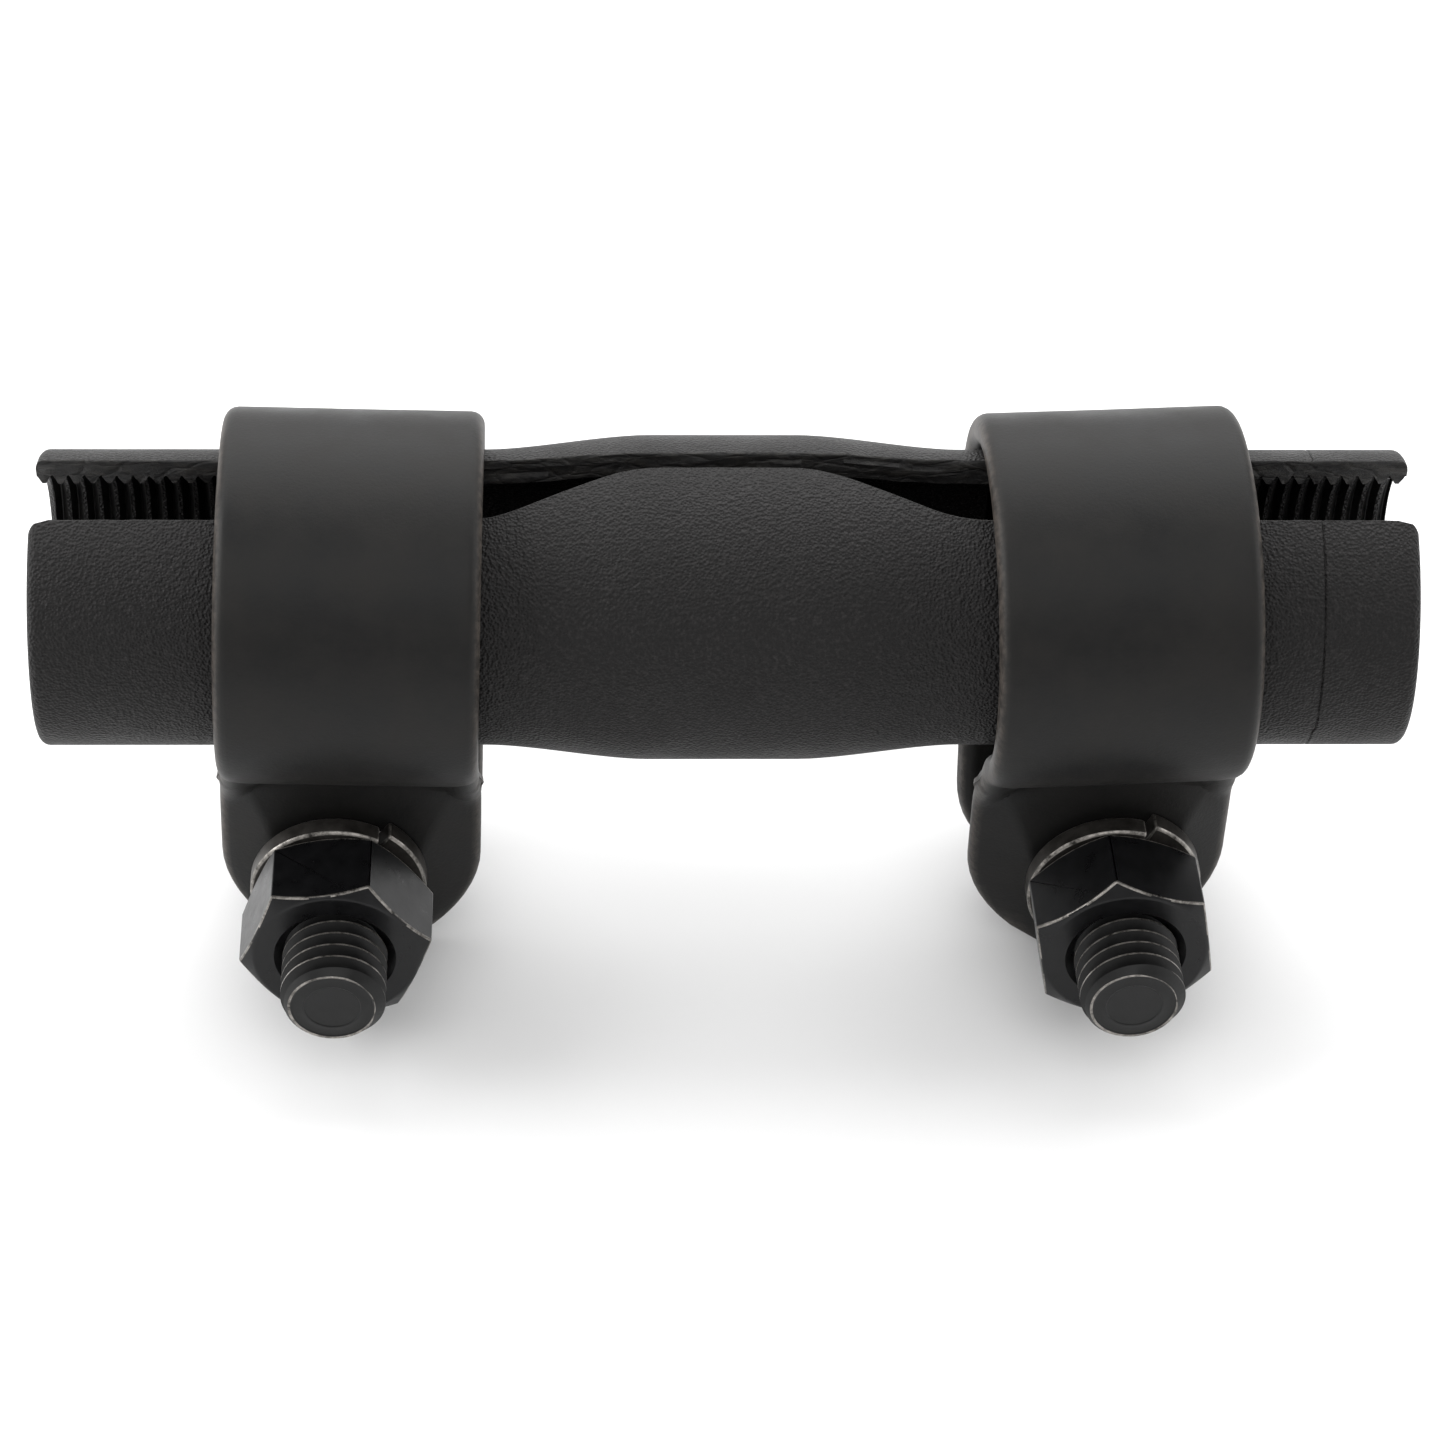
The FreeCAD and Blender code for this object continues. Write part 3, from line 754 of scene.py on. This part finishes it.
def make_clamp(sizes):
    """A flat strip bent round the sleeve: pads and flanks on its ears, a round end to each."""
    half_rows = strip_rows(sizes)
    rows = [(-1, *row) for row in half_rows] + [(1, *row) for row in reversed(half_rows[:-1])]
    across = len(strip_columns(1, 12))
    count = 2 * across - 1
    bpy.ops.mesh.primitive_grid_add(x_subdivisions=count - 1, y_subdivisions=len(rows) - 1,
                                    size=2, location=(0, 0, 0))
    strip = named("clamp_strip")
    low = crease_height(sizes)
    vertices = strip.data.vertices
    order = sorted(range(len(vertices)),
                   key=lambda i: (round(vertices[i].co.y, 5), round(vertices[i].co.x, 5)))
    group = strip.vertex_groups.new(name="thickness")
    for place, index in enumerate(order):
        side, share, along = rows[place // count]
        column = place % count - (across - 1)
        x, z = strip_across(share, along, sizes)[abs(column)]
        if z is not None:
            along = z - low
        y, height = bent_path(x, along, sizes)
        inset = min(rim_distance(x, height if along < 0 else low + 4, sizes), RIM_ROUND)
        fall = RIM_ROUND - math.sqrt(max(RIM_ROUND ** 2 - (RIM_ROUND - inset) ** 2, 0))
        group.add([index], 1 - 2 * fall * MM / sizes.plate, "REPLACE")
        x = math.copysign(x, column)
        sway = 0.05 * noise.noise(Vector((x * 0.12, side * y * 0.12, height * 0.12)))
        vertices[index].co = Vector((x, side * (y + sway), height)) * MM
    outwards(strip)
    crown = max(strip.data.polygons, key=lambda face: face.center.z)
    if crown.normal.z < 0:
        with editing(strip, "FACE"):
            bpy.ops.mesh.select_all(action="SELECT")
            bpy.ops.mesh.flip_normals()
    finish_with(strip, "SOLIDIFY", thickness=sizes.plate, offset=0, use_even_offset=True,
                use_quality_normals=True, vertex_group="thickness")
    bpy.ops.mesh.primitive_cylinder_add(vertices=72, radius=BOLT_HOLE * MM, depth=40 * MM,
                                        location=(0, 0, -BOLT_DROP * MM),
                                        rotation=(math.pi / 2, 0, 0))
    drill = named("drill")
    settle(drill)
    shape_with(strip, drill)
    outwards(strip)
    return strip


def mark_wear(piece, sizes):
    """An attribute, 1 along the strip's rounded rim and 0 inside it, for the finish to rub
    through."""
    layer = piece.data.attributes.new("wear", "FLOAT", "POINT")
    low = crease_height(sizes)
    worn = []
    for vertex in piece.data.vertices:
        x, y, z = vertex.co / MM
        inset = rim_distance(x, z if z < low else low + 4, sizes)
        worn.append(ease(1 - (inset - 0.1) / 0.6))
    layer.data.foreach_set("value", worn)


def clamp_turn(sizes, side):
    """Where a clamp stands: its ring is centred on its own joint's axis."""
    spin = next(j for j in frame["joints"] if j["name"] == f"{side}_clamp_spin")
    if side == "left":
        turn = Matrix.Rotation(sizes.left_lean, 4, "Y")
    else:
        turn = Matrix.Rotation(sizes.right_skew, 4, "Z")
    return Matrix.Translation(spin["pos_m"]) @ turn


# ---------------------------------------------------------------- bolts, washers and nuts

HEAD_HEIGHT = 6.4
NUT_HEIGHT = 8.0
NUT_BORE = 5.0
NUT_MOUTH = 0.75
TURNED_FACE = 7.7       # radius of the flat left when a hexagon's end is turned
HEX_REACH = 10.4        # beyond its corners
BOLT_PITCH = 1.5
BOLT_THREAD_DEPTH = 0.92
PLAIN_SHANK = 9.0
TAP_CLEARANCE = 1.012
SEAT = PAD_OFFSET + 0.05
WASHER_STACK = 3.45
# the crescents carry worn steel and a painted highlight
WORN_ENDS = 1.1         # a hexagon's worn crescents are this near its ends
WORN_BEYOND = 7.95      # and this far out
# the bolts lie against the outer side of their holes
BOLT_SHIFT = {"left": -1.05, "right": 1.05}
# degrees each piece is turned about its bolt
TURNED = {
    "left": {"bolt": 18.0, "washer": 62.0, "nut": 10.0},
    "right": {"bolt": 40.0, "washer": 72.0, "nut": 38.5},
}


def along_bolt(side, turn, y):
    """From a piece's own frame, its axis on Z, to its seat on the bolt's axis below the ring."""
    seat = Matrix.Translation(Vector((BOLT_SHIFT[side], y, -BOLT_DROP)) * MM)
    return seat @ Euler((math.pi / 2, 0, 0)).to_matrix().to_4x4() @ Matrix.Rotation(
        math.radians(turn), 4, "Z")


def hexagon(name, sizes, height, both_ends):
    """A hexagonal bar, turned to 30 degrees on its lower end or both by a lathe-shaped blank."""
    flats = sizes.flats / MM
    bpy.ops.mesh.primitive_cylinder_add(vertices=6, radius=flats / math.sqrt(3) * MM,
                                        depth=height * MM, location=(0, 0, height / 2 * MM),
                                        rotation=(0, 0, math.pi / 6))
    bar = named(name)
    settle(bar)
    fall = (HEX_REACH - TURNED_FACE) * math.tan(math.radians(30))
    end = [(HEX_REACH, height)]
    if both_ends:
        end = [(HEX_REACH, height - fall), (TURNED_FACE, height)]
    outline = [(PIN_HOLE, 0.0), (TURNED_FACE, 0.0), (HEX_REACH, fall), *end, (PIN_HOLE, height)]
    lathed = spun(name + "_blank", outline, (0, 0, 1), BLANK_STEPS)
    shape_with(bar, closed_core(lathed), operation="INTERSECT")
    dress(bar, None, None)
    return bar


def closed_core(piece):
    """Close the pin-hole left on the axis of a turned blank."""
    pick(piece, "vertices", lambda v: math.hypot(v.co.x, v.co.y) < 10 * PIN_HOLE * MM)
    with editing(piece):
        bpy.ops.mesh.remove_doubles(threshold=10 * PIN_HOLE * MM)
    outwards(piece)
    return piece


def threaded_rod(name, sizes, length, plain):
    """A shank from z = 0 to its chamfered end, with an M10 x 1.5 thread cut beyond plain."""
    radius = sizes.radius / MM
    # the end is chamfered, with a narrow step inside its rim
    end = [(radius, length - 0.8), (radius - 0.75, length), (radius - 1.0, length),
           (radius - 1.15, length - 0.08), (radius - 2.0, length - 0.08),
           (radius - 2.1, length - 0.03), (radius - 2.25, length - 0.03),
           (radius - 2.35, length - 0.1), (PIN_HOLE, length - 0.1)]
    outline = [(PIN_HOLE, 0.0), (radius, 0.0), *end]
    rod = closed_core(spun(name, outline, (0, 0, 1), BLANK_STEPS))
    outside = radius + 0.08
    root = radius - BOLT_THREAD_DEPTH
    root_half = 0.12
    mouth_half = root_half + (outside - root) * THREAD_FLANK
    section = [(outside, -mouth_half), (outside, mouth_half), (root, root_half),
               (root, -root_half)]
    turns = math.ceil((length - plain) / BOLT_PITCH) + 1
    cutter = coil(name + "_thread_tool", section, BOLT_PITCH, turns, steps=48)
    move(cutter, Matrix.Translation((0, 0, plain * MM)))
    shape_with(rod, cutter)
    return rod


def move(piece, matrix):
    piece.data.transform(matrix)
    piece.data.update()


def wear_edges(piece, width_mm, slot, angle=25):
    """Round the piece's sharp edges a little and give the new faces their own slot, for worn
    steel with a painted highlight.
    """
    finish_with(piece, "BEVEL", width=width_mm * MM, segments=2, limit_method="ANGLE",
                angle_limit=math.radians(angle), material=slot, use_clamp_overlap=True)


def rub_crescents(bar, low, high):
    """Leave the slot of worn steel and painted highlight only on the crescents where flats meet
    the ends turned at these heights."""
    for face in bar.data.polygons:
        inward = min(face.center.z - low, high - face.center.z)
        from_axis = math.hypot(face.center.x, face.center.y)
        if inward > WORN_ENDS * MM or from_axis < WORN_BEYOND * MM:
            face.material_index = 0


def make_bolt(sizes, shank):
    """A hex-headed bolt, its head below z = 0, and shank the threaded rod above it."""
    head = hexagon("bolt_head", sizes, HEAD_HEIGHT, both_ends=False)
    move(head, Matrix.Translation((0, 0, -HEAD_HEIGHT * MM)))
    wear_edges(head, 0.16, 1)
    rub_crescents(head, -HEAD_HEIGHT * MM, HEAD_HEIGHT * MM)
    dress(shank, None, None)
    # thread crests and the end's rim take slot 1, paler steel: partly wear, partly a painted
    # highlight
    crest = sizes.radius - 0.03 * MM
    vertices = shank.data.vertices
    for face in shank.data.polygons:
        on_crest = face.center.z > PLAIN_SHANK * MM and all(
            math.hypot(vertices[i].co.x, vertices[i].co.y) > crest for i in face.vertices)
        from_axis = math.hypot(face.center.x, face.center.y)
        on_lip = (face.normal.z > 0.9 and face.center.z > sizes.length - 0.01 * MM
                  and from_axis > sizes.radius - 1.0 * MM)
        face.material_index = 1 if on_crest or on_lip else 0
    shape_with(head, shank, operation="UNION")
    return head


def make_nut(sizes, rod):
    """A hex nut standing on z = 0, tapped by rod, the bolt's own thread opened up a little."""
    nut = hexagon("nut_body", sizes, NUT_HEIGHT, both_ends=True)
    past = 0.5
    cone = 1.2
    rising = [(PIN_HOLE, -past), (NUT_BORE + NUT_MOUTH + past, -past), (NUT_BORE, NUT_MOUTH),
              (NUT_BORE - cone, NUT_MOUTH + cone)]
    inner = rising + [(r, NUT_HEIGHT - z) for r, z in reversed(rising)]
    drill = closed_core(spun("nut_drill", inner, (0, 0, 1), BLANK_STEPS))
    wear_edges(nut, 0.2, 1)
    rub_crescents(nut, 0, NUT_HEIGHT * MM)
    shape_with(nut, drill)
    shape_with(nut, rod)
    return nut


def make_washer():
    """A split lock washer: a left-hand coil of square wire with its corners broken."""
    inner, outer, plate = 5.15, 8.4, 2.15
    rise, turns = 1.3, 0.98
    corner = 0.32
    section = [(inner + corner, 0), (outer - corner, 0), (outer - 0.09, 0.09), (outer, corner),
               (outer, plate - corner), (outer - 0.09, plate - 0.09), (outer - corner, plate),
               (inner + corner, plate), (inner, plate - corner), (inner, corner)]
    ring = coil("washer_ring", section, -rise / turns, turns, steps=120)
    move(ring, Matrix.Translation((0, 0, rise * MM)))
    return ring


# ---------------------------------------------------------------- add-on

class OBJECT_OT_sleeve(bpy.types.Operator):
    """Build the slotted, threaded sleeve"""
    bl_idname = "object.make_adjusting_sleeve"
    bl_label = "Sleeve"

    def execute(self, context):
        piece = make_sleeve(context.scene.sleeve_sizes)
        piece.name = "sleeve_visual"
        tones = context.scene.sleeve_finishes
        dress(piece, phosphate_steel(tones), threaded_steel(tones), sheared_steel(tones))
        without_slivers(piece)
        smooth(piece, 30)
        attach(piece, "sleeve")
        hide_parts("sleeve")
        return {"FINISHED"}


class OBJECT_OT_clamps(bpy.types.Operator):
    """Bend one strip clamp and set two of them on the sleeve"""
    bl_idname = "object.make_pinch_clamps"
    bl_label = "Clamps"

    def execute(self, context):
        sizes = context.scene.clamp_sizes
        strip = make_clamp(sizes)
        mark_wear(strip, sizes)
        dress(strip, clamp_oxide(context.scene.sleeve_finishes))
        smooth(strip, 30)
        for side in SIDES:
            piece = twin_of(strip)
            piece.name = f"{side}_clamp_visual"
            move(piece, clamp_turn(sizes, side))
            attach(piece, f"{side}_clamp")
            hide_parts(f"{side}_clamp")
        bpy.data.objects.remove(strip)
        return {"FINISHED"}


class OBJECT_OT_hardware(bpy.types.Operator):
    """Make the bolt, lock washer and nut and set a stack of them on each clamp"""
    bl_idname = "object.make_clamp_hardware"
    bl_label = "Bolts, washers and nuts"

    def execute(self, context):
        sizes = context.scene.bolt_sizes
        clamp = context.scene.clamp_sizes
        tones = context.scene.sleeve_finishes
        black = bolt_oxide("black_oxide_rolled_steel", tones.bolt_black, 0.36)
        gloss = bolt_oxide("black_oxide_forged_steel", tones.nut_black, 0.26)
        # paler steel for edges and crests: partly real wear, partly a painted highlight
        worn = worn_edge_and_painted_highlight(tones)
        spring = spring_steel(tones)
        rod = threaded_rod("rod", sizes, sizes.length / MM, PLAIN_SHANK)
        bolt = make_bolt(sizes, twin_of(rod))
        dress(bolt, black, worn)
        washer = make_washer()
        dress(washer, spring, worn)
        # the washer's rounded edges get the paler steel: partly wear, partly a painted highlight
        wear_edges(washer, 0.2, 1, angle=40)
        seats = {"bolt": SEAT, "washer": -SEAT, "nut": -SEAT - WASHER_STACK - 0.05}
        for side in SIDES:
            turned = TURNED[side]
            hung = clamp_turn(clamp, side)
            # the tap follows the bolt's thread where the nut stands on it
            tap = twin_of(rod)
            move(tap, Matrix.Diagonal((TAP_CLEARANCE, TAP_CLEARANCE, 1, 1)))
            bolt_place = along_bolt(side, turned["bolt"], seats["bolt"])
            nut_place = along_bolt(side, turned["nut"], seats["nut"])
            move(tap, nut_place.inverted() @ bolt_place)
            nut = make_nut(sizes, tap)
            dress(nut, gloss, worn)
            self.seat(nut, f"{side}_nut", "nut_oxide", hung @ nut_place)
            self.seat(twin_of(bolt), f"{side}_bolt", "bolt_oxide", hung @ bolt_place)
            place = along_bolt(side, turned["washer"], seats["washer"])
            self.seat(twin_of(washer), f"{side}_lock_washer", "spring_steel", hung @ place)
        for tool in (rod, bolt, washer):
            bpy.data.objects.remove(tool)
        return {"FINISHED"}

    def seat(self, piece, body, slot, place):
        move(piece, place)
        piece.name = body + "_visual"
        without_slivers(piece)
        smooth(piece)
        # flats stay flat beside their rounded edges
        finish_with(piece, "WEIGHTED_NORMAL", keep_sharp=True)
        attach(piece, body)
        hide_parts(body)


# name, place and size in metres, and watts; every light faces the sleeve's middle
LIGHTS = (
    ("top_softbox", (0, 0.6, 0.66), (1.6, 1.2), 17),
    ("front_softbox", (0, -0.55, 0.8), (1.0, 0.6), 3),
    ("left_softbox", (-0.8, 0.0, 0.3), (0.6, 0.6), 7),
    ("right_softbox", (0.8, 0.0, 0.3), (0.6, 0.6), 3),
)
AIR = 0.56              # strength of the even white light from all round
FLOOR_GAP = 0.02


class SCENE_OT_studio(bpy.types.Operator):
    """Lay a pale floor, hang the soft lights and stand the camera"""
    bl_idname = "scene.light_sleeve_studio"
    bl_label = "Studio"

    def execute(self, context):
        studio = context.scene.sleeve_studio
        lowest = CAD_BOX[0][2]
        bpy.ops.mesh.primitive_plane_add(size=8, location=(0, 0, lowest - FLOOR_GAP * MM))
        floor = named("studio_floor")
        settle(floor)
        dress(floor, studio_paper(context.scene.sleeve_finishes))
        for light in LIGHTS:
            self.light(*light)
        world = bpy.data.worlds.new("studio_air")
        world.use_nodes = True
        background = world.node_tree.nodes["Background"]
        background.inputs["Color"].default_value = (1, 1, 1, 1)
        background.inputs["Strength"].default_value = AIR
        context.scene.world = world
        context.scene.view_settings.view_transform = "Standard"
        self.camera(context.scene, studio)
        return {"FINISHED"}

    def light(self, name, place, size, power):
        bpy.ops.object.light_add(type="AREA", location=place)
        lamp = bpy.context.active_object
        lamp.name = name
        lamp.data.shape = "RECTANGLE"
        lamp.data.size, lamp.data.size_y = size
        lamp.data.energy = power
        direction = Vector() - Vector(place)
        lamp.rotation_euler = direction.to_track_quat("-Z", "Y").to_euler()

    def camera(self, scene, studio):
        bpy.ops.object.camera_add()
        camera = bpy.context.active_object
        camera.name = "camera"
        level = studio.distance * math.cos(studio.elevation)
        camera.location = (level * math.sin(studio.yaw), -level * math.cos(studio.yaw),
                           studio.distance * math.sin(studio.elevation))
        camera.rotation_euler = (math.pi / 2 - studio.elevation, 0, studio.yaw)
        # rolled so that the sleeve's axis lies level in the view
        roll = math.atan(math.sin(studio.elevation) * math.tan(studio.yaw))
        camera.rotation_euler.rotate_axis("Z", -roll)
        camera.data.sensor_width = 36
        camera.data.lens = camera.data.sensor_width * studio.distance / studio.view_width
        camera.data.shift_y = -studio.drop
        camera.data.clip_start = 0.01
        scene.camera = camera


class VIEW3D_PT_sleeve(bpy.types.Panel):
    """The sleeve's sizes and the steps that build it"""
    bl_idname = "VIEW3D_PT_adjusting_sleeve"
    bl_label = "Tie-rod sleeve"
    bl_space_type = "VIEW_3D"
    bl_region_type = "UI"
    bl_category = "Sleeve"

    def draw(self, context):
        for group, operator in (
                ("sleeve_sizes", "object.make_adjusting_sleeve"),
                ("clamp_sizes", "object.make_pinch_clamps"),
                ("bolt_sizes", "object.make_clamp_hardware"),
                ("sleeve_finishes", None),
                ("sleeve_studio", "scene.light_sleeve_studio")):
            box = self.layout.box()
            sizes = getattr(context.scene, group)
            for name in sizes.__annotations__:
                box.prop(sizes, name)
            if operator:
                box.operator(operator)


GROUPS = {
    "sleeve_sizes": SleeveSizes,
    "clamp_sizes": ClampSizes,
    "bolt_sizes": BoltSizes,
    "sleeve_finishes": Finishes,
    "sleeve_studio": Studio,
}
CLASSES = (*GROUPS.values(), OBJECT_OT_sleeve, OBJECT_OT_clamps, OBJECT_OT_hardware,
           SCENE_OT_studio, VIEW3D_PT_sleeve)


def register():
    for item in CLASSES:
        bpy.utils.register_class(item)
    for name, group in GROUPS.items():
        setattr(bpy.types.Scene, name, bpy.props.PointerProperty(type=group))


def unregister():
    for name in GROUPS:
        delattr(bpy.types.Scene, name)
    for item in reversed(CLASSES):
        bpy.utils.unregister_class(item)


def plain(box):
    return [[float(value) for value in corner] for corner in box]


def main():
    register()
    deselect_all()
    bpy.ops.object.make_adjusting_sleeve()
    bpy.ops.object.make_pinch_clamps()
    bpy.ops.object.make_clamp_hardware()
    bpy.ops.scene.light_sleeve_studio()


if __name__ == "__main__":
    main()
